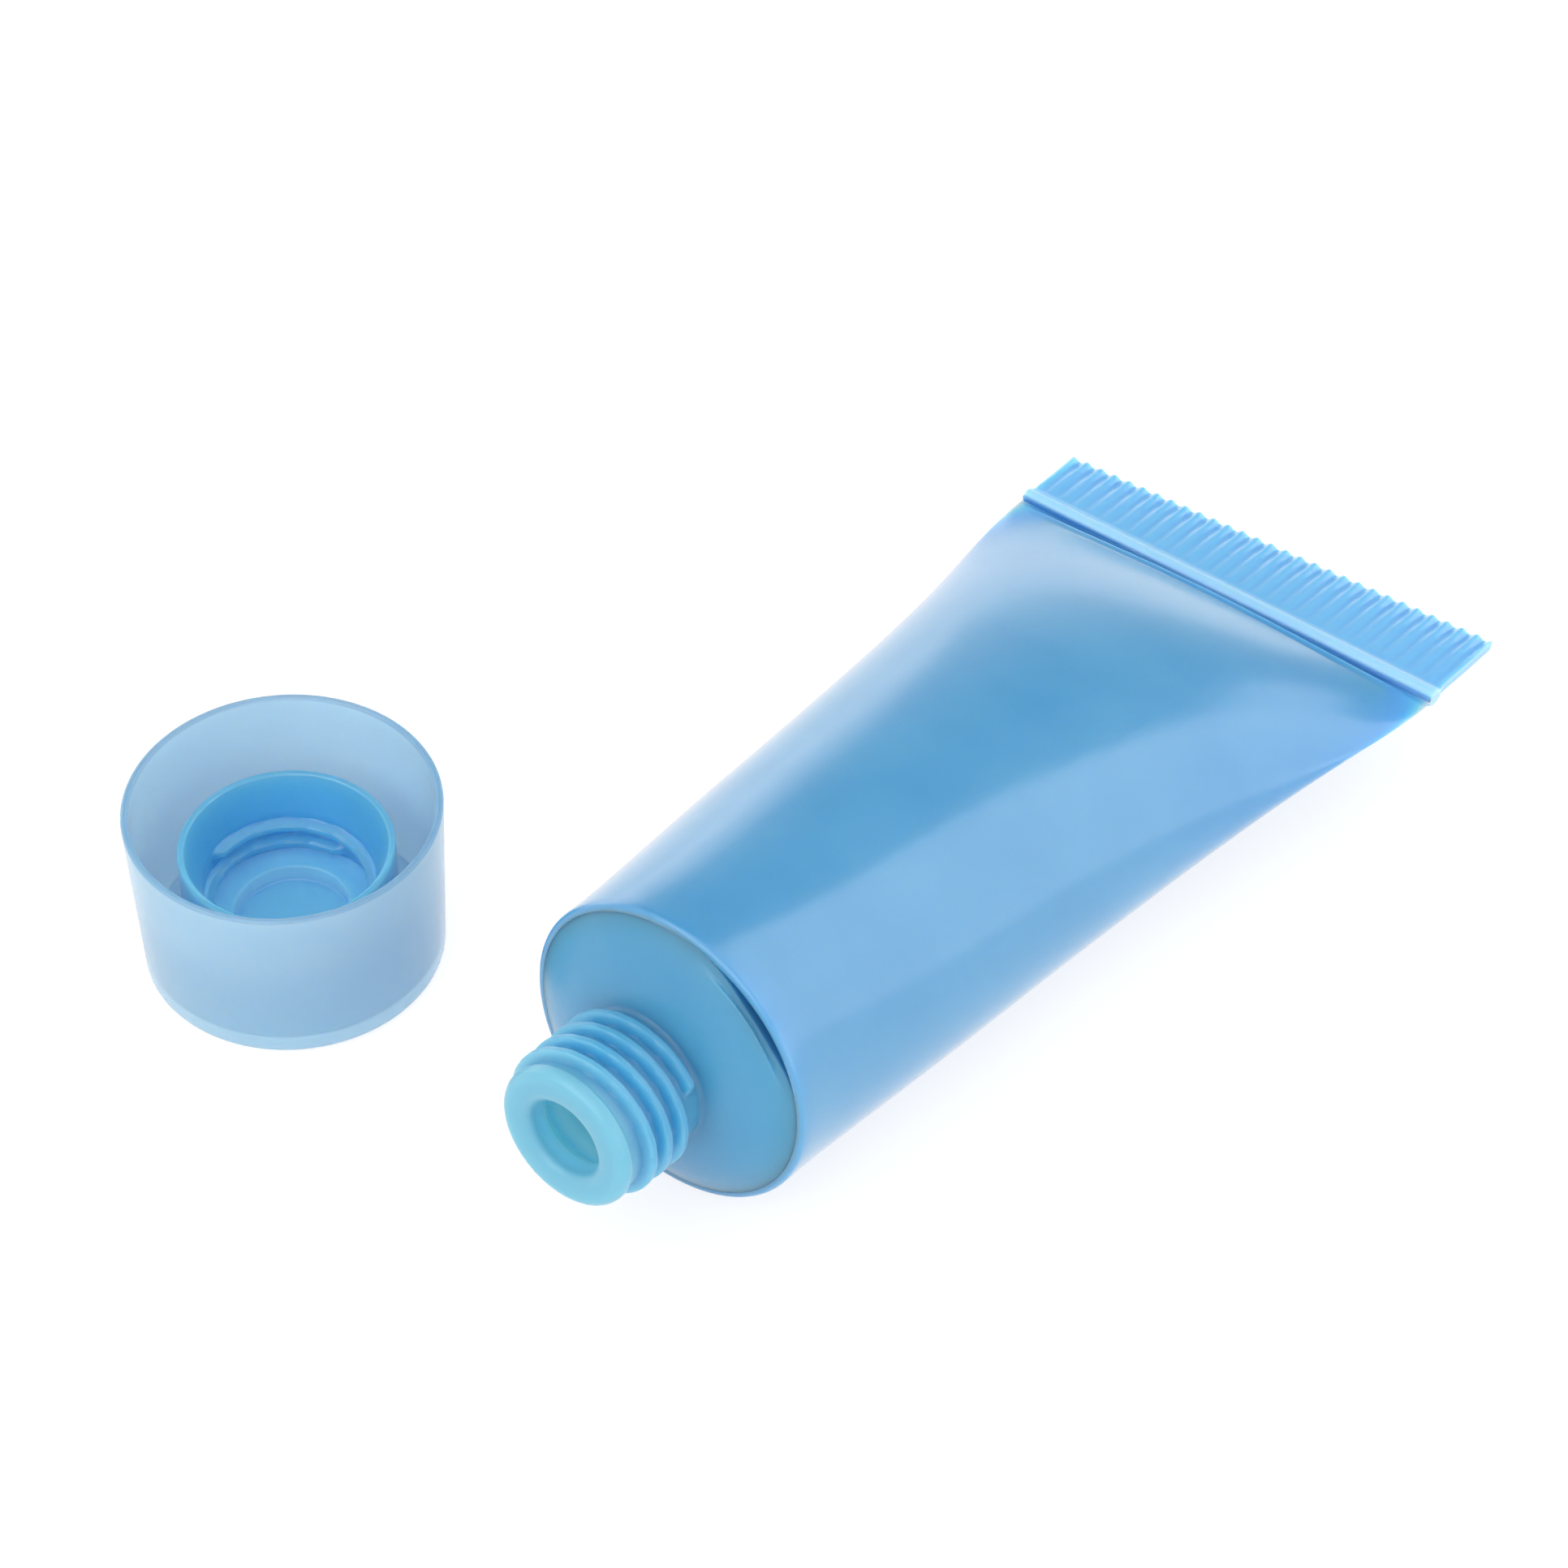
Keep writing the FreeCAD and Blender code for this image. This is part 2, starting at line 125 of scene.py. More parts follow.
# Where the weld has left the sleeve's edge free of the head: a crescent at this angle from
# the top, over this angle to each side. It takes in the head's rim, by its width and drop. The
# two shares are how far it keeps its full width, sideways and up the shoulder.
WELD_GAP = 0.8
WELD_GAP_ANGLE = -46.0
WELD_GAP_REACH = 34.0
WELD_GAP_FULL = 0.1
RIM_WIDTH = 0.9
RIM_DROP = 0.5
RIM_DROP_FULL = 0.4

# The screw thread, outside the neck and inside the cap's boss.
THREAD_HEIGHT = 0.7
THREAD_PITCH = 1.5
THREAD_TURNS = 3.5
THREAD_BASE = 1.0
THREAD_CREST = 0.35
THREAD_END = 0.03
THREAD_LEAD = 1.85
THREAD_START_TURN = 290.0
THREAD_CLEARANCE = 0.25
CAP_THREAD_TURNS = 1.3
CAP_THREAD_LEAD = 3.3

# The cap. All depths are from its rim.
CAP_MOUTH_RADIUS = 10.64
CAP_END_RADIUS = 10.05
CAP_HEIGHT = 13.0
CAP_WALL = 0.5
CAP_FLOOR = 1.1
CAP_CORNER = 0.5
CAP_INSIDE_ROUND = 0.4
CAP_RIM_ROUND = 0.2
BOSS_RADIUS = 7.25
BOSS_LIP = 0.45
BOSS_FOOT_ROUND = 0.3
BOSS_LEAD_IN = 2.6
BOSS_LEAD_IN_ROUND = 1.0
BOSS_DROP = 3.8
SEAT_DEPTH = 9.7
SEAT_INNER_RADIUS = 3.9
SEAT_ROUND = 0.2
SEAT_EDGE_ROUND = 0.15
DISC_DEPTH = 10.9
DISC_ROUND = 0.2

# How finely the shapes are meshed: steps in a turn, a rounding and a rib, vertices in half a
# ring of the sleeve, and the longest row in mm on each kind of surface.
TURN_STEPS = 192
ROUND_STEPS = 5
RIB_STEPS = 8
HALF_COUNT = SEAL_RIBS * RIB_STEPS
PLAIN_ROW = 1.0
THREAD_ROW = 0.09
RIM_ROW = 0.1
SLEEVE_ROW = 0.8
CREST_ROW = 0.12
# How many rows the bead and the hollow have, and where the strip has its rows behind the seal
# line.
BEAD_ROWS = 9
HOLLOW_ROWS = 40
STRIP_ROWS = (0.75, 1.0, 1.4, 2.4, 3.4, 4.4, 5.2, SEAL_LEN - 0.12, SEAL_LEN)
# The sleeve's vertices go from round to even spacing between these shares of its length.
EVEN_FROM = 0.5
EVEN_FULL = 0.98
# How often the sleeve's width is halved in on, and in how many steps its outline is measured.
WIDTH_TRIES = 30
WIDTH_STEPS = 90
# How near to the boss's bore a point is on it, the radius of the pinhole in which a turned
# shape ends at its axis, and the angle from which an edge stays sharp.
BORE_TOUCH = 0.05
AXIS_GAP = 0.02
SHARP_ABOVE = math.radians(40.0)

# ---------------------------------------------------------------- where things are

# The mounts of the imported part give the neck's axis, the lip and the cap's place.
mounts = {mount["name"]: mount for mount in frame["record"]["mounts"]}
orifice = mounts["orifice"]
neck_way = Vector(orifice["axis"]).normalized()
lip_centre = Vector(orifice["pos_m"]) + neck_way * orifice["dims"]["length_mm"] * MM / 2
shoulder_centre = lip_centre - neck_way * NECK_HEIGHT * MM
cap_centre = Vector(mounts["cap_end_face"]["pos_m"])

tail_way = -neck_way
across_way = Vector((0.0, 1.0, 0.0))
up_way = tail_way.cross(across_way)


def on_tube(along, across, up):
    """A place in the tube's frame: along from the shoulder plane to the tail, across, up."""
    return shoulder_centre + (tail_way * along + across_way * across + up_way * up) * MM


def on_neck(radius, height, angle):
    """A place about the neck's axis: height before the shoulder plane, angle from the top."""
    return on_tube(-height, radius * math.sin(angle), radius * math.cos(angle))


def on_cap(radius, height, angle):
    """A place about the cap's axis, height above its closed end."""
    place = Vector((radius * math.cos(angle), radius * math.sin(angle), height))
    return cap_centre + place * MM


# ---------------------------------------------------------------- mesh helpers

def smooth_step(low, high, value):
    """0 below low, 1 above high, smooth between."""
    share = min(max((value - low) / (high - low), 0.0), 1.0)
    return share * share * (3.0 - 2.0 * share)


def put_in_scene(name, data):
    """A new object in the scene, with this mesh, lamp or camera."""
    obj = bpy.data.objects.new(name, data)
    bpy.context.scene.collection.objects.link(obj)
    return obj


def piece(name, vertices, faces, node):
    """A finished piece of the object, which stands for its CAD node."""
    mesh = bpy.data.meshes.new(name)
    mesh.from_pydata(vertices, [], faces)
    mesh.validate()
    mesh.shade_smooth()
    mesh.set_sharp_from_angle(angle=SHARP_ABOVE)
    obj = put_in_scene(name, mesh)
    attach(obj, "root")
    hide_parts(node)
    return obj


def rounded_outline(corners):
    """A closed outline of (radius, height) points from (radius, height, rounding) corners."""
    points = []
    count = len(corners)
    for i, (x, y, rounding) in enumerate(corners):
        corner = Vector((x, y))
        if rounding == 0.0:
            points.append(corner)
            continue
        back = (Vector(corners[i - 1][:2]) - corner).normalized()
        ahead = (Vector(corners[(i + 1) % count][:2]) - corner).normalized()
        half = back.angle(ahead) / 2
        centre = corner + (back + ahead).normalized() * rounding / math.sin(half)
        first = corner + back * rounding / math.tan(half) - centre
        last = corner + ahead * rounding / math.tan(half) - centre
        sweep = first.angle_signed(last)
        for step in range(ROUND_STEPS + 1):
            points.append(centre + Matrix.Rotation(-sweep * step / ROUND_STEPS, 2) @ first)
    return points


def finely_cut(outline, step):
    """The outline, cut so that no stretch is longer than step(the stretch's middle)."""
    points = []
    for i, point in enumerate(outline):
        following = outline[(i + 1) % len(outline)]
        length = (following - point).length
        parts = max(1, math.ceil(length / step((point + following) / 2)))
        points += [point.lerp(following, k / parts) for k in range(parts)]
    return points


def turned(outline, place, relief):
    """Vertices and faces of a closed outline turned about an axis.
    relief(radius, height, angle) is what a thread or a gap adds to the radius."""
    vertices = []
    for point in outline:
        for k in range(TURN_STEPS):
            angle = 2 * math.pi * k / TURN_STEPS
            radius = point.x + relief(point.x, point.y, angle)
            vertices.append(place(radius, point.y, angle))
    faces = []
    rows = len(outline)
    for i in range(rows):
        for k in range(TURN_STEPS):
            a = i * TURN_STEPS + k
            b = i * TURN_STEPS + (k + 1) % TURN_STEPS
            c = ((i + 1) % rows) * TURN_STEPS + (k + 1) % TURN_STEPS
            d = ((i + 1) % rows) * TURN_STEPS + k
            faces.append((a, b, c, d))
    return vertices, faces


def thread_rise(height, angle, low, start_turn, turns):
    """How far a right-hand thread stands proud at a place, as a share of its height. It
    starts at the height low, at start_turn in degrees."""
    best = 0.0
    turn = (math.degrees(angle) - start_turn) % 360.0 / 360.0
    while turn <= turns:
        offset = abs(height - low - THREAD_PITCH * turn)
        flank = 1.0 - smooth_step(THREAD_CREST / 2, THREAD_BASE / 2, offset)
        ends = (smooth_step(0.0, THREAD_END, turn)
                * smooth_step(0.0, THREAD_END, turns - turn))
        best = max(best, flank * ends)
        turn += 1.0
    return best


# ---------------------------------------------------------------- shoulder and neck

def make_shoulder_neck():
    """The moulded head: ring inside the sleeve, domed shoulder, threaded neck and lip."""
    sleeve_bore = TUBE_RADIUS - SLEEVE_WALL
    ring_bore = sleeve_bore - SHOULDER_WALL
    bore = NECK_RADIUS - NECK_WALL
    root = SLEEVE_FRONT + SHOULDER_RISE
    throat = NECK_HEIGHT - ORIFICE_LEN
    dome = [(sleeve_bore + (NECK_RADIUS - sleeve_bore) * share,
             SLEEVE_FRONT + SHOULDER_RISE * share + SHOULDER_BULGE, DOME_ROUND)
            for share in (1 / 3, 2 / 3)]
    outline = rounded_outline([
        (ring_bore, -SKIRT_LEN, HEAD_FINE_ROUND),
        (sleeve_bore, -SKIRT_LEN, HEAD_FINE_ROUND),
        (sleeve_bore, SLEEVE_FRONT, HEAD_EDGE_ROUND),
        *dome,
        (NECK_RADIUS, root, ROOT_ROUND),
        (NECK_RADIUS, NECK_HEIGHT - LIP_LEN - LIP_RISE, LIP_FOOT_ROUND),
        (NECK_RADIUS + LIP_RISE, NECK_HEIGHT - LIP_LEN, LIP_STEP_ROUND),
        (NECK_RADIUS + LIP_RISE, NECK_HEIGHT, LIP_ROUND),
        (ORIFICE_RADIUS, NECK_HEIGHT, ORIFICE_ROUND),
        (ORIFICE_RADIUS, throat, HEAD_FINE_ROUND),
        (bore, throat - (bore - ORIFICE_RADIUS), THROAT_ROUND),
        (bore, root - SHOULDER_WALL, HEAD_INSIDE_ROUND),
        (ring_bore, SLEEVE_FRONT - SHOULDER_WALL, HEAD_INSIDE_ROUND),
    ])
    thread_low = NECK_HEIGHT - THREAD_LEAD - THREAD_PITCH * THREAD_TURNS

    def outside_neck(radius, height):
        return radius > bore + NECK_WALL / 2 and height > thread_low - THREAD_PITCH / 2

    def by_rim(radius, height):
        return radius > sleeve_bore - RIM_WIDTH and height < SLEEVE_FRONT + RIM_DROP

    def row(middle):
        if outside_neck(middle.x, middle.y):
            return THREAD_ROW
        return RIM_ROW if by_rim(middle.x, middle.y) and middle.y > 0.0 else PLAIN_ROW

    def relief(radius, height, angle):
        if by_rim(radius, height):
            off_middle = abs(math.remainder(math.degrees(angle) - WELD_GAP_ANGLE, 360.0))
            share = 1.0 - smooth_step(WELD_GAP_FULL, 1.0, off_middle / WELD_GAP_REACH)
            below = 1.0 - smooth_step(RIM_DROP_FULL, 1.0, (height - SLEEVE_FRONT) / RIM_DROP)
            return -WELD_GAP * share * below * smooth_step(-SKIRT_LEN, -SKIRT_LEN / 2, height)
        if not outside_neck(radius, height):
            return 0.0
        return THREAD_HEIGHT * thread_rise(height, angle, thread_low, THREAD_START_TURN,
                                           THREAD_TURNS)

    vertices, faces = turned(finely_cut(outline, row), on_neck, relief)
    return piece("head", vertices, faces, "shoulder_neck")


# ---------------------------------------------------------------- screw cap

def make_screw_cap():
    """The cap, mouth up: tapered skirt, closed end, and threaded boss with its seat."""
    boss_top = CAP_HEIGHT - BOSS_DROP
    bore = NECK_RADIUS + THREAD_HEIGHT + THREAD_CLEARANCE
    seat = CAP_HEIGHT - SEAT_DEPTH
    disc = CAP_HEIGHT - DISC_DEPTH
    outline = rounded_outline([
        (AXIS_GAP, 0.0, 0.0),
        (CAP_END_RADIUS, 0.0, CAP_CORNER),
        (CAP_MOUTH_RADIUS, CAP_HEIGHT, CAP_RIM_ROUND),
        (CAP_MOUTH_RADIUS - CAP_WALL, CAP_HEIGHT, CAP_RIM_ROUND),
        (CAP_END_RADIUS - CAP_WALL, CAP_FLOOR, CAP_INSIDE_ROUND),
        (BOSS_RADIUS, CAP_FLOOR, BOSS_FOOT_ROUND),
        (BOSS_RADIUS, boss_top, CAP_RIM_ROUND),
        (BOSS_RADIUS - BOSS_LIP, boss_top, CAP_RIM_ROUND),
        (bore, boss_top - BOSS_LEAD_IN, BOSS_LEAD_IN_ROUND),
        (bore, seat, SEAT_ROUND),
        (SEAT_INNER_RADIUS, seat, SEAT_EDGE_ROUND),
        (SEAT_INNER_RADIUS, disc, DISC_ROUND),
        (AXIS_GAP, disc, 0.0),
    ])
    thread_low = boss_top - CAP_THREAD_LEAD - THREAD_PITCH * CAP_THREAD_TURNS

    def inside_boss(radius, height):
        return (abs(radius - bore) < BORE_TOUCH
                and seat < height < boss_top - BOSS_LEAD_IN / 2)

    def row(middle):
        return THREAD_ROW if inside_boss(middle.x, middle.y) else PLAIN_ROW

    def relief(radius, height, angle):
        if not inside_boss(radius, height):
            return 0.0
        return -THREAD_HEIGHT * thread_rise(height, angle, thread_low, 0.0, CAP_THREAD_TURNS)

    vertices, faces = turned(finely_cut(outline, row), on_cap, relief)
    return piece("cap", vertices, faces, "screw_cap")


# ---------------------------------------------------------------- sleeve

def section_height(share):
    """Half the sleeve's height at a share of its length: a bowed taper that closes late."""
    eased = share - TAPER_EASE * (1.0 - math.exp(-share / TAPER_EASE))
    bow = FILM_BOW * math.sin(math.pi * min(share / BOW_END, 1.0)) ** 2
    closing = 1.0 - share ** CLOSING_POWER
    return (TUBE_RADIUS * (1.0 - TAPER_SHARE * eased) - bow) * closing


def section_point(half_width, half_height, lens, width_share):
    """A point of a cross-section, by its share of the half width, on the upper side."""
    rise = math.sqrt(max(0.0, 1.0 - width_share ** 2))
    return half_width * width_share, half_height * rise ** (1.0 + lens)


def section_width(share, half_height, lens):
    """Half width that keeps the film's length round the section."""
    film = 2 * math.pi * TUBE_RADIUS + 2 * SEAL_SPREAD * share
    low = half_height / 2
    high = film / 4 + SLEEVE_WALL
    for _ in range(WIDTH_TRIES):
        middle = (low + high) / 2
        length = 0.0
        last = section_point(middle, half_height, lens, 1.0)
        for k in range(1, WIDTH_STEPS + 1):
            point = section_point(middle, half_height, lens,
                                  math.cos(math.pi * k / (2 * WIDTH_STEPS)))
            length += math.hypot(point[0] - last[0], point[1] - last[1])
            last = point
        if 4 * length > film:
            high = middle
        else:
            low = middle
    return low


def width_shares(share):
    """Shares of the half width, from one side fold to the other: round spacing, then even."""
    even = smooth_step(EVEN_FROM, EVEN_FULL, share)
    shares = []
    for k in range(HALF_COUNT + 1):
        step = k / HALF_COUNT
        shares.append((1.0 - even) * math.cos(math.pi * step) + even * (1.0 - 2.0 * step))
    return shares


def turned_about_axis(along, across, up, turn):
    """A place in the tube's frame, turned about its axis."""
    return on_tube(along, across * math.cos(turn) + up * math.sin(turn),
                   up * math.cos(turn) - across * math.sin(turn))


def film_crest(along, width_share):
    """How far the upper film stands up in a crest before the seal, and dips behind it."""
    before = SLEEVE_LEN - SEAL_BEAD_RADIUS - along
    middle = 1.0 - width_share ** 2
    crest_at = CREST_NEAREST + (CREST_FARTHEST - CREST_NEAREST) * middle
    if before > crest_at + CREST_SPAN:
        return 0.0
    crest = CREST_HEIGHT * math.exp(-((before - crest_at) / CREST_REACH) ** 2)
    dip = 0.0
    if 0.0 < before < crest_at:
        dip = GROOVE_DEPTH * math.sin(math.pi * before / crest_at) ** 2
    return (crest - dip) * middle


def sleeve_ring(along, inset, fold):
    """One ring of vertices round the film, or, inset by the wall and with the web in each
    side fold, round its hollow."""
    share = max(0.0, (along - SLEEVE_ROUND_LEN) / (SLEEVE_LEN - SLEEVE_ROUND_LEN))
    lens = share ** FOLD_POWER
    half_height = max(section_height(share), SEAL_THICK / 2)
    half_width = section_width(share, half_height, lens)
    turn = SEAL_TURN * share ** SEAL_TURN_POWER
    skew = SEAL_SKEW * share ** SEAL_SKEW_POWER
    upper = []
    lower = []
    for width_share in width_shares(share):
        across, up = section_point(half_width - inset - fold * lens, half_height - inset,
                                   lens, width_share)
        place = along + skew * across / half_width
        crest = 0.0 if fold else film_crest(along, width_share)
        upper.append(turned_about_axis(place, across, up + crest, turn))
        lower.append(turned_about_axis(place, across, -up, turn))
    return upper + lower[-2:0:-1]


def seal_ring(along, half_width, thickness, rib):
    """One ring of vertices round the pressed strip. rib is the share of the ribs' height."""
    past = min(max((along - SLEEVE_LEN) / SEAL_LEN, 0.0), 1.0)
    skew = SEAL_SKEW * (1.0 - past) - SEAL_END_SKEW * past
    upper = []
    lower = []
    for k in range(HALF_COUNT + 1):
        width_share = 1.0 - 2.0 * k / HALF_COUNT
        across = half_width * width_share
        wave = rib * SEAL_RIB_HEIGHT / 2 * math.cos(2 * math.pi * k / RIB_STEPS)
        place = along + skew * width_share
        side = thickness / 2
        upper.append(turned_about_axis(place, across, wave + side, SEAL_TURN))
        lower.append(turned_about_axis(place, across, wave - side, SEAL_TURN))
    return upper + lower[-2:0:-1]


def film_rings():
    """The film's outside, from its rounded front edge to the bead."""
    rings = []
    for step in range(ROUND_STEPS + 1):
        angle = math.pi / 2 * step / ROUND_STEPS
        inset = SLEEVE_EDGE_ROUND * (1.0 - math.sin(angle))
        place = -SLEEVE_FRONT + SLEEVE_EDGE_ROUND * (1.0 - math.cos(angle))
        rings.append(sleeve_ring(place, inset, 0.0))
    start = -SLEEVE_FRONT + SLEEVE_EDGE_ROUND
    stop = SLEEVE_LEN - SEAL_BEAD_RADIUS
    near_seal = stop - CREST_FARTHEST - CREST_SPAN
    for first, last, row in ((start, near_seal, SLEEVE_ROW), (near_seal, stop, CREST_ROW)):
        rows = math.ceil((last - first) / row)
        for i in range(1, rows + 1):
            rings.append(sleeve_ring(first + (last - first) * i / rows, 0.0, 0.0))
    return rings


def seal_rings():
    """The bead along the seal line, then the pressed strip to its cut end."""
    rings = []
    bead_width = section_width(1.0, SEAL_THICK / 2, 1.0)
    for step in range(BEAD_ROWS):
        angle = math.pi * (step + 1) / (BEAD_ROWS + 1)
        place = SLEEVE_LEN - SEAL_BEAD_RADIUS * math.cos(angle)
        thickness = max(2 * SEAL_BEAD_RADIUS * math.sin(angle), SEAL_THICK)
        rings.append(seal_ring(place, bead_width, thickness, 0.0))
    strip_width = bead_width - SEAL_STRIP_INSET
    for along in STRIP_ROWS:
        risen = smooth_step(SEAL_LEN / 2, SEAL_LEN, along)
        rib = smooth_step(RIB_FROM, RIB_FULL, along) * (RIB_START + (1.0 - RIB_START) * risen)
        thickness = SEAL_THICK * (SEAL_END_THIN if along == SEAL_LEN else 1.0)
        rings.append(seal_ring(SLEEVE_LEN + along, strip_width, thickness, rib))
    return rings


def hollow_rings():
    """The film's inside, from its mouth at the head to the web before the seal."""
    rings = [sleeve_ring(-SLEEVE_FRONT, SLEEVE_WALL, 0.0)]
    hollow_len = SLEEVE_LEN - SEAL_WEB + SLEEVE_FRONT
    for i in range(1, HOLLOW_ROWS + 1):
        place = -SLEEVE_FRONT + hollow_len * i / HOLLOW_ROWS
        rings.append(sleeve_ring(place, SLEEVE_WALL, FOLD_WEB))
    return rings


def end_faces(base, flip):
    """The faces that close the ring whose vertices start at base, in strips across it."""
    count = 2 * HALF_COUNT
    faces = []
    for k in range(HALF_COUNT):
        loop = [base + k, base + k + 1, base + (count - k - 1) % count,
                base + (count - k) % count]
        loop = list(dict.fromkeys(loop))
        faces.append(tuple(loop[::-1] if flip else loop))
    return faces


def make_tube_sleeve():
    """The film: round at the head, pressed flat and welded at its tail. Its rings run from
    the hollow's closed end out to the mouth, and back along the outside to the strip's end."""
    rings = hollow_rings()[::-1] + film_rings() + seal_rings()
    count = 2 * HALF_COUNT
    vertices = [vertex for ring in rings for vertex in ring]
    faces = []
    for i in range(len(rings) - 1):
        for k in range(count):
            a = i * count + k
            b = i * count + (k + 1) % count
            faces.append((a, b, b + count, a + count))
    faces += end_faces(0, False) + end_faces((len(rings) - 1) * count, True)
    return piece("sleeve", vertices, faces, "tube_sleeve")


head = make_shoulder_neck()
cap = make_screw_cap()
sleeve = make_tube_sleeve()

# ---------------------------------------------------------------- materials

# What the three polyolefins share: the refraction, the varnish's smoothness, the millimetres
# over which the dye drifts, how much the roughness varies, and the warm white seen edge on.
POLYOLEFIN_IOR = 1.51
VARNISH_ROUGHNESS = 0.18
DYE_DRIFT = 9.0
ROUGHNESS_DRIFT = 0.04
SHEEN_ROUGHNESS = 0.2
SHEEN_TINT = "#FFF1E7"
# Noise stays about its middle, so only this stretch of it is used.
NOISE_LOW = 0.3
NOISE_HIGH = 0.7


def linear(hex_colour):
    """An sRGB hex colour as linear RGBA."""
    channels = [int(hex_colour[i:i + 2], 16) / 255 for i in (1, 3, 5)]
    return [c / 12.92 if c <= 0.04045 else ((c + 0.055) / 1.055) ** 2.4
            for c in channels] + [1.0]


def emptied_tree(owner):
    """The node tree of a new material or world, with nothing in it yet."""
    owner.use_nodes = True
    owner.node_tree.nodes.clear()
    return owner.node_tree


def add_node(tree, kind, inputs=None, **settings):
    """Adds a node. settings are its own values; inputs gives its sockets values or links."""
    node = tree.nodes.new(kind)
    for name, value in settings.items():
        setattr(node, name, value)
    for socket, value in (inputs or {}).items():
        if isinstance(value, bpy.types.NodeSocket):
            tree.links.new(value, node.inputs[socket])
        else:
            node.inputs[socket].default_value = value
    return node


def measured(tree, place, centre, way):
    """How far a point lies along an axis from centre, out from the axis, and away from
    centre, in metres."""
    offset = add_node(tree, "ShaderNodeVectorMath", {0: place, 1: centre},
                      operation="SUBTRACT").outputs["Vector"]
    along = add_node(tree, "ShaderNodeVectorMath", {0: offset, 1: way},
                     operation="DOT_PRODUCT").outputs["Value"]
    foot = add_node(tree, "ShaderNodeVectorMath", {0: way, "Scale": along},
                    operation="SCALE").outputs["Vector"]
    out = add_node(tree, "ShaderNodeVectorMath", {0: offset, 1: foot},
                   operation="DISTANCE").outputs["Value"]
    away = add_node(tree, "ShaderNodeVectorMath", {0: offset},
                    operation="LENGTH").outputs["Value"]
    return {"along": along, "out": out, "away": away}


def polyolefin(name, colour, pale, zones, centre, way, roughness, grain, relief, stretch,
               sheen, varnish, depth, reach, clear):
    """A dyed, milky polyolefin.

    The dye drifts a little between colour and pale. In each zone, (measure, from, to, colour)
    in mm along or out from the axis through centre, or away from centre, the colour turns to
    another: the plastic's own tone in some zones, painted shade or a painted highlight in
    others. grain and relief are the width and height of the skin's grain in mm, stretch is
    how many times longer than wide it is along the tube, and sheen is how white the skin
    turns where it is seen edge on. depth is how far light wanders inside in mm, reach its
    share by colour, and clear the share of light that passes through, as in frosted glass."""
    material = bpy.data.materials.new(name)
    tree = emptied_tree(material)
    place = add_node(tree, "ShaderNodeTexCoord").outputs["Object"]
    drift = add_node(tree, "ShaderNodeTexNoise", {
        "Vector": place, "Scale": 1 / (DYE_DRIFT * MM), "Detail": 2.0, "Roughness": 0.5})
    dye = add_node(tree, "ShaderNodeMapRange", {
        "Value": drift.outputs["Fac"], "From Min": NOISE_LOW, "From Max": NOISE_HIGH})
    tint = add_node(tree, "ShaderNodeMix", {
        "Factor": dye.outputs["Result"], 6: linear(colour), 7: linear(pale)},
        data_type="RGBA").outputs[2]
    measures = measured(tree, place, centre, way)
    for measure, start, end, zone_colour in zones:
        share = add_node(tree, "ShaderNodeMapRange", {
            "Value": measures[measure], "From Min": start * MM, "From Max": end * MM})
        tint = add_node(tree, "ShaderNodeMix", {
            "Factor": share.outputs["Result"], 6: tint, 7: linear(zone_colour)},
            data_type="RGBA").outputs[2]
    drawn = add_node(tree, "ShaderNodeMapping", {
        "Vector": place, "Rotation": (0.0, -tube_tilt, 0.0),
        "Scale": (1 / (grain * stretch * MM), 1 / (grain * MM), 1 / (grain * MM))})
    skin = add_node(tree, "ShaderNodeTexNoise", {
        "Vector": drawn.outputs["Vector"], "Scale": 1.0, "Detail": 3.0, "Roughness": 0.6})
    gloss = add_node(tree, "ShaderNodeMapRange", {
        "Value": skin.outputs["Fac"], "From Min": NOISE_LOW, "From Max": NOISE_HIGH,
        "To Min": roughness - ROUGHNESS_DRIFT, "To Max": roughness + ROUGHNESS_DRIFT})
    bump = add_node(tree, "ShaderNodeBump", {
        "Strength": 1.0, "Distance": relief * MM, "Height": skin.outputs["Fac"]})
    shader = add_node(tree, "ShaderNodeBsdfPrincipled", {
        "Base Color": tint,
        "Roughness": gloss.outputs["Result"],
        "Normal": bump.outputs["Normal"],
        "IOR": POLYOLEFIN_IOR,
        "Subsurface Weight": 1.0,
        "Subsurface Radius": reach,
        "Subsurface Scale": depth * MM,
        "Transmission Weight": clear,
        "Coat Weight": varnish,
        "Coat Roughness": VARNISH_ROUGHNESS,
        "Sheen Weight": sheen,
        "Sheen Roughness": SHEEN_ROUGHNESS,
        "Sheen Tint": linear(SHEEN_TINT),
    }, subsurface_method="RANDOM_WALK")
    add_node(tree, "ShaderNodeOutputMaterial", {"Surface": shader.outputs["BSDF"]})
    return material


tube_tilt = math.asin(neck_way.z)
# A point on the neck's axis in the middle of the bore, this far behind the lip.
BORE_MIDDLE = 4.65
inside_lip = lip_centre + tail_way * BORE_MIDDLE * MM
# Square to the seal, which runs askew across the tube.
seal_way = (tail_way * math.pi * TUBE_RADIUS / 2 - across_way * SEAL_SKEW).normalized()
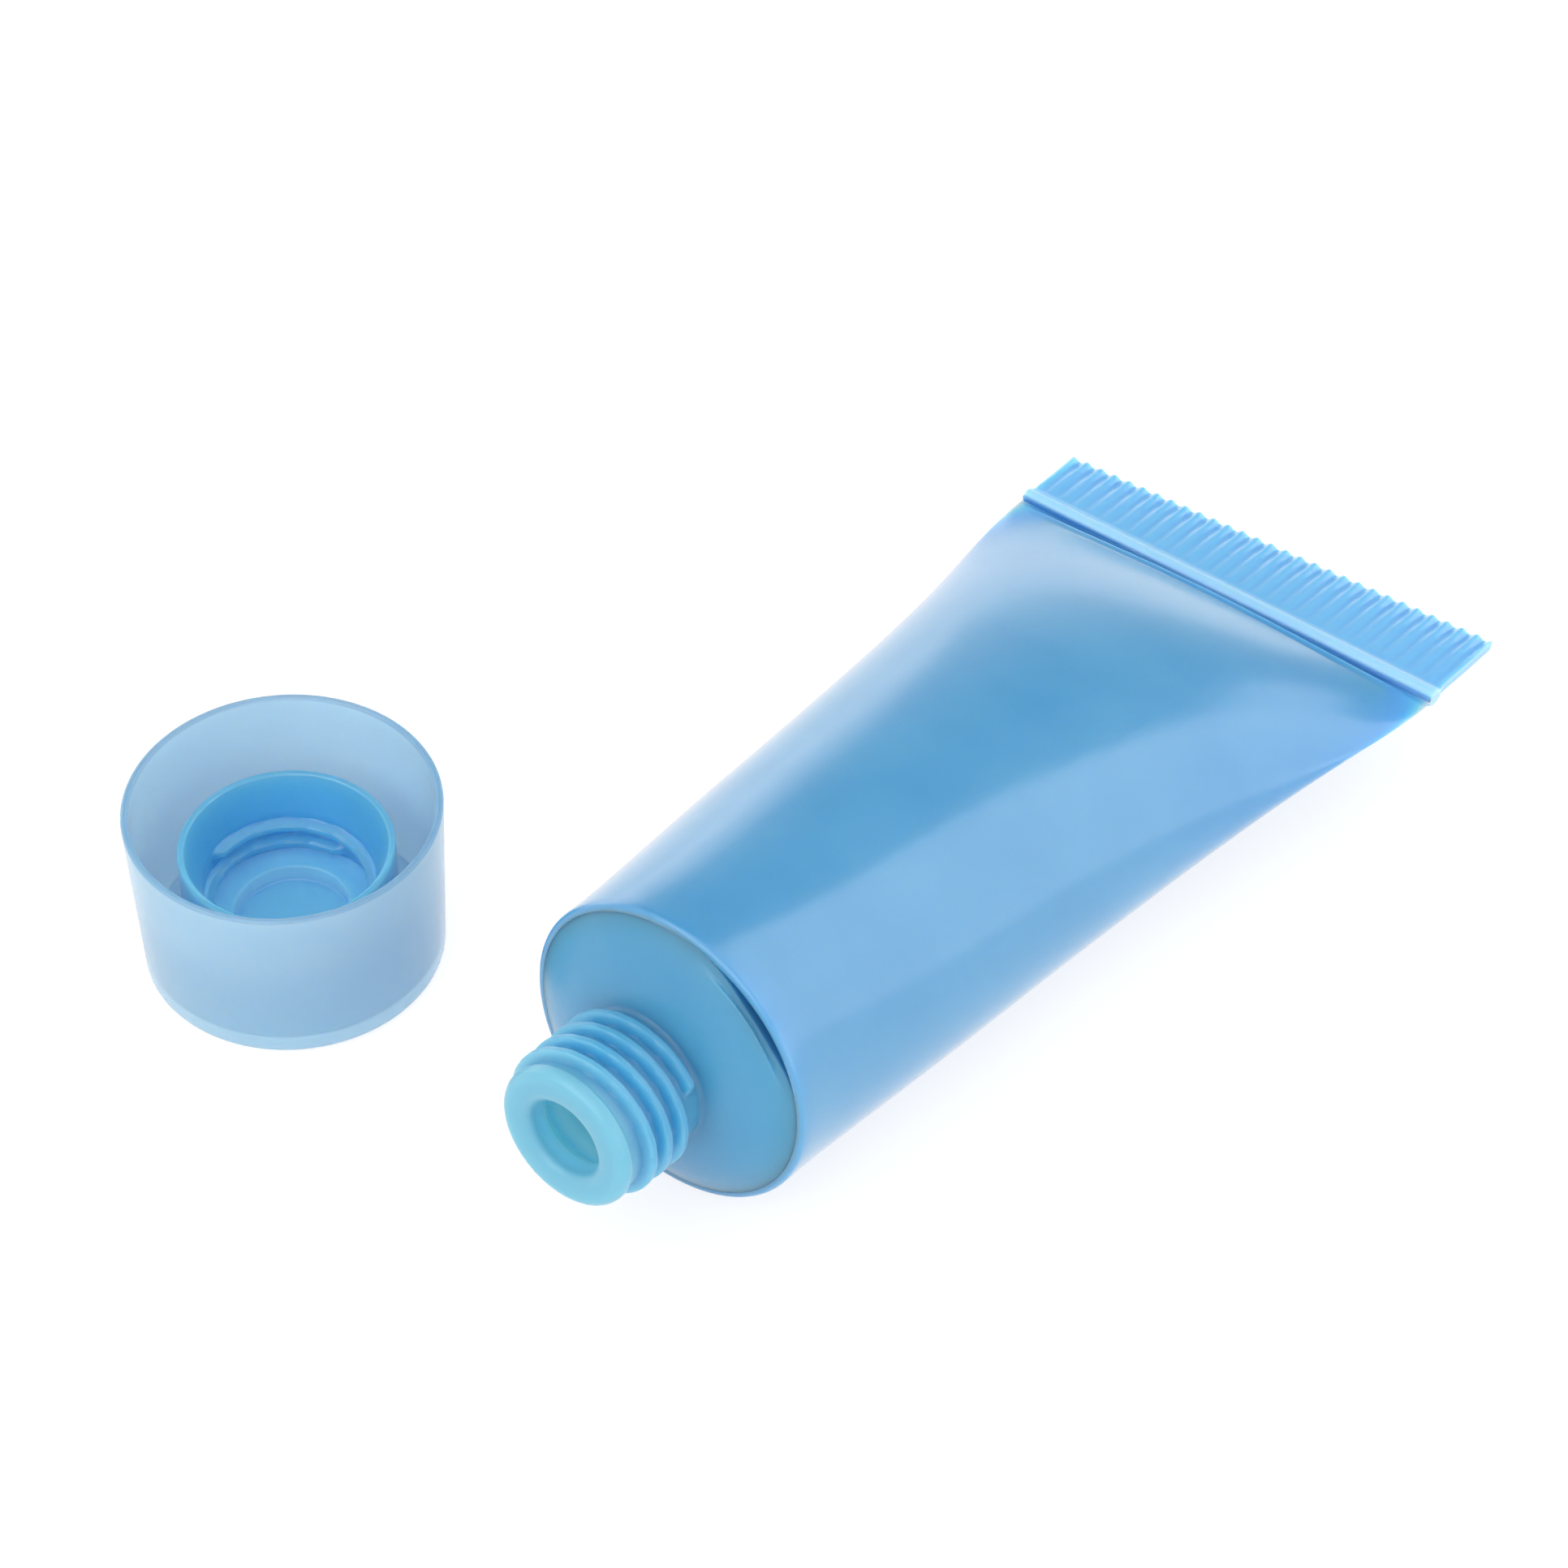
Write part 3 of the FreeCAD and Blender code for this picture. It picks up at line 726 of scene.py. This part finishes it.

# Low-density polyethylene film, extruded as a sleeve and varnished: soft gloss, and faint
# lines half a millimetre wide along the tube, as the die draws them. Its cut edge, where it
# meets the head, and the groove before the seal are darkened with painted shade; the bead is
# palest, with a painted highlight; and it is a little paler over the hot-pressed ribs than on
# the belly.
sleeve.data.materials.append(polyolefin(
    "extruded_ldpe_film", "#569CCE", "#5EA2D3",
    # painted shade at the cut edge, painted shade in the groove, a painted highlight on the
    # bead, then the strip's own paler tone
    [("along", 0.3, -0.1, "#4E96C8"),
     ("along", SLEEVE_LEN - 1.3, SLEEVE_LEN - 1.0, "#3F84BE"),
     ("along", SLEEVE_LEN - 0.7, SLEEVE_LEN - 0.5, "#A0D0F0"),
     ("along", SLEEVE_LEN + 0.5, SLEEVE_LEN + 0.8, "#78BAE2")],
    shoulder_centre, seal_way,
    roughness=0.2, grain=0.5, relief=0.004, stretch=30.0, sheen=0.4, varnish=0.6,
    depth=1.5, reach=(0.5, 0.8, 1.2), clear=0.0))
# Low-density polyethylene, injection moulded: duller and softer, with an even grain, drawn
# coarser than a mould leaves it so that it shows. The lip is a little greener. The rim under
# the sleeve's edge is darkened with painted shade, where the weld's gap leaves a shadow. The
# bore is painted lighter, for the light that comes in through the neck's wall.
head.data.materials.append(polyolefin(
    "moulded_ldpe_head", "#4A98C8", "#4F9DCC",
    # the lip's greener tone, painted shade on the rim in the weld's gap, and the bore painted
    # lighter
    [("along", -2.0, -3.6, "#6CAAC2"),
     ("along", 5.8, 6.1, "#2E74AC"),
     ("away", 4.8, 4.0, "#98DCFF")],
    inside_lip, tail_way,
    roughness=0.32, grain=0.6, relief=0.002, stretch=1.0, sheen=0.25, varnish=0.0,
    depth=7.0, reach=(0.6, 0.9, 1.0), clear=0.0))
# Polypropylene, injection moulded in a polished mould: brighter and clearer, with a slow
# waviness where it has shrunk. The thick middle is a deeper blue than the thin wall, and the
# rim is painted with a fine darker line, which stands in for the shade along its edge.
cap.data.materials.append(polyolefin(
    "moulded_pp_cap", "#A6D6FA", "#ACDAFB",
    # the deeper blue of the boss and of the seat's disc, then the rim's line of painted shade
    [("out", BOSS_RADIUS + 0.6, BOSS_RADIUS - 0.1, "#70CCFF"),
     ("out", SEAT_INNER_RADIUS + 0.2, SEAT_INNER_RADIUS - 0.2, "#7CD4FF"),
     ("along", CAP_HEIGHT - 0.25, CAP_HEIGHT - 0.1, "#82B4DA")],
    cap_centre, Vector((0.0, 0.0, 1.0)),
    roughness=0.2, grain=2.5, relief=0.008, stretch=1.0, sheen=0.1, varnish=0.0,
    depth=3.0, reach=(1.0, 0.8, 0.6), clear=0.4))

# ---------------------------------------------------------------- floor, light and camera

# The floor, in metres from its middle to its edge. As background it shows this much white of
# its own, and this grey, which takes shadow, on top.
FLOOR_REACH = 1.5
FLOOR_GLOW = 0.75
FLOOR_SHADE = "#A0A0A0"
PAPER_WHITE = "#F3F3F3"
FELT_BLACK = "#272727"
SKY_WHITE = "#FFFFFF"
SKY_LIGHT = 0.62

# The camera looks down at the tube from the neck's side, rolled a little. Metres.
CAMERA_FROM_SHOULDER = Vector((-0.20456, -0.1825, 0.29791))
CAMERA_HEADING = Vector((0.7643, 0.6448, 0.0)).normalized()
CAMERA_DIP = math.radians(45.02)
CAMERA_ROLL = math.radians(-1.5)
CAMERA_LENS = 146.2
CAMERA_SENSOR = 36.0
CAMERA_CLIP = 0.01

# The dark card's corners and fade line are directions from the object: degrees round the
# upright axis, and above the floor.
CARD_CORNERS = ((-12, 38), (-3, 29), (8, 20), (12, 8), (14, 0), (75, 0), (75, 62), (5, 62),
                (-8, 44))
CARD_FADE_FROM = (22, 4)
CARD_FADE_TO = (50, 17)
CARD_FADE = 22
CARD_DISTANCE = 0.6


def background_ray(tree):
    """1 for the rays that show the background: straight, mirrored or refracted ones."""
    rays = add_node(tree, "ShaderNodeLightPath")
    either = add_node(tree, "ShaderNodeMath", {0: rays.outputs["Is Camera Ray"],
                                               1: rays.outputs["Is Glossy Ray"]},
                      operation="MAXIMUM")
    return add_node(tree, "ShaderNodeMath", {0: either.outputs[0],
                                             1: rays.outputs["Is Transmission Ray"]},
                    operation="MAXIMUM").outputs[0]


def make_floor():
    """A white floor, which as background is partly its own white and partly takes shadow."""
    mesh = bpy.data.meshes.new("floor")
    reach = FLOOR_REACH
    mesh.from_pydata([(-reach, -reach, 0), (reach, -reach, 0), (reach, reach, 0),
                      (-reach, reach, 0)], [], [(0, 1, 2, 3)])
    floor = put_in_scene("floor", mesh)
    material = bpy.data.materials.new("white_paper_sweep")
    tree = emptied_tree(material)
    paper = add_node(tree, "ShaderNodeBsdfDiffuse", {"Color": linear(PAPER_WHITE)})
    shaded = add_node(tree, "ShaderNodeBsdfDiffuse", {"Color": linear(FLOOR_SHADE)})
    glow = add_node(tree, "ShaderNodeEmission", {"Strength": FLOOR_GLOW})
    shown = add_node(tree, "ShaderNodeAddShader", {0: shaded.outputs[0], 1: glow.outputs[0]})
    mixed = add_node(tree, "ShaderNodeMixShader", {0: background_ray(tree),
                                                   1: paper.outputs[0], 2: shown.outputs[0]})
    add_node(tree, "ShaderNodeOutputMaterial", {"Surface": mixed.outputs[0]})
    mesh.materials.append(material)


def make_world():
    """White surroundings, which light the object less brightly than they show."""
    world = bpy.data.worlds.new("studio")
    bpy.context.scene.world = world
    tree = emptied_tree(world)
    light = add_node(tree, "ShaderNodeBackground", {"Strength": SKY_LIGHT,
                                                    "Color": linear(SKY_WHITE)})
    white = add_node(tree, "ShaderNodeBackground", {"Strength": 1.0,
                                                    "Color": linear(SKY_WHITE)})
    mixed = add_node(tree, "ShaderNodeMixShader", {0: background_ray(tree),
                                                   1: light.outputs[0], 2: white.outputs[0]})
    add_node(tree, "ShaderNodeOutputWorld", {"Surface": mixed.outputs[0]})


def make_camera():
    """A long lens, well away from the object."""
    camera = bpy.data.cameras.new("camera")
    camera.lens = CAMERA_LENS
    camera.sensor_width = CAMERA_SENSOR
    camera.clip_start = CAMERA_CLIP
    obj = put_in_scene("camera", camera)
    look = CAMERA_HEADING * math.cos(CAMERA_DIP) - Vector((0, 0, math.sin(CAMERA_DIP)))
    level = look.cross(Vector((0, 0, 1))).normalized()
    above = level.cross(look)
    right = level * math.cos(CAMERA_ROLL) + above * math.sin(CAMERA_ROLL)
    top = right.cross(look)
    turn = Matrix((right, top, -look)).transposed()
    place = Matrix.Translation(shoulder_centre + CAMERA_FROM_SHOULDER)
    obj.matrix_world = place @ turn.to_4x4()
    bpy.context.scene.camera = obj


def direction(azimuth, elevation):
    """Unit vector from the object, in degrees round the upright axis and above the floor."""
    turn, rise = math.radians(azimuth), math.radians(elevation)
    return Vector((math.cos(turn) * math.cos(rise), math.sin(turn) * math.cos(rise),
                   math.sin(rise)))


def make_softbox(name, azimuth, elevation, distance, width, height, radiance,
                 tint="#FFFFFF"):
    """A lit panel that faces the object, sized in metres. radiance 1 shows as white."""
    lamp = bpy.data.lights.new(name, "AREA")
    lamp.shape = "RECTANGLE"
    lamp.size = width
    lamp.size_y = height
    lamp.energy = radiance * math.pi * width * height
    lamp.color = linear(tint)[:3]
    obj = put_in_scene(name, lamp)
    way = direction(azimuth, elevation)
    obj.location = way * distance
    obj.rotation_euler = way.to_track_quat("Z", "Y").to_euler()
    return obj


def make_dark_card():
    """A dark card hung over the object. Only mirrored rays meet it, so it takes no light
    away: it puts the long dark band in the gloss of the sleeve. It fades out across the fade
    line, over the angle CARD_FADE to each side."""
    mesh = bpy.data.meshes.new("dark_card")
    mesh.from_pydata([direction(*corner) * CARD_DISTANCE for corner in CARD_CORNERS], [],
                     [tuple(range(len(CARD_CORNERS)))])
    card = put_in_scene("dark_card", mesh)
    first, last = direction(*CARD_FADE_FROM), direction(*CARD_FADE_TO)
    across_fade = first.cross(last).normalized()
    across_fade *= math.copysign(1.0, across_fade.z)
    reach = CARD_DISTANCE * math.sin(math.radians(CARD_FADE))
    material = bpy.data.materials.new("black_felt_card")
    tree = emptied_tree(material)
    place = add_node(tree, "ShaderNodeTexCoord").outputs["Object"]
    side = add_node(tree, "ShaderNodeVectorMath", {0: place, 1: across_fade},
                    operation="DOT_PRODUCT").outputs["Value"]
    cover = add_node(tree, "ShaderNodeMapRange", {
        "Value": side, "From Min": -reach, "From Max": reach},
        interpolation_type="SMOOTHSTEP")
    mirrored = add_node(tree, "ShaderNodeLightPath").outputs["Is Glossy Ray"]
    share = add_node(tree, "ShaderNodeMath", {0: cover.outputs["Result"], 1: mirrored},
                     operation="MULTIPLY")
    clear = add_node(tree, "ShaderNodeBsdfTransparent")
    felt = add_node(tree, "ShaderNodeBsdfDiffuse", {"Color": linear(FELT_BLACK)})
    mixed = add_node(tree, "ShaderNodeMixShader", {0: share.outputs[0], 1: clear.outputs[0],
                                                   2: felt.outputs[0]})
    add_node(tree, "ShaderNodeOutputMaterial", {"Surface": mixed.outputs[0]})
    mesh.materials.append(material)


make_floor()
make_world()
make_dark_card()
# The pale bands on the sleeve: along the belly, low on its near side, and warm on its far
# side.
make_softbox("side_box", azimuth=-28.0, elevation=29.0, distance=0.75,
             width=1.2, height=0.75, radiance=0.8)
make_softbox("low_box", azimuth=-100.0, elevation=11.0, distance=0.7,
             width=1.0, height=0.27, radiance=1.15)
make_softbox("back_box", azimuth=77.0, elevation=10.0, distance=0.8,
             width=1.04, height=0.3, radiance=1.0, tint="#FFF3EA")
# Lights the seal, and isn't mirrored in the film before it.
tail_box = make_softbox("tail_box", azimuth=12.0, elevation=38.0, distance=0.8,
                        width=0.9, height=0.5, radiance=1.1)
tail_box.visible_glossy = False
# Lights the shoulder, the neck and the near side of the cap.
make_softbox("front_box", azimuth=178.0, elevation=45.0, distance=0.7,
             width=0.9, height=0.6, radiance=1.7)
make_camera()
bpy.context.scene.view_settings.view_transform = "Standard"
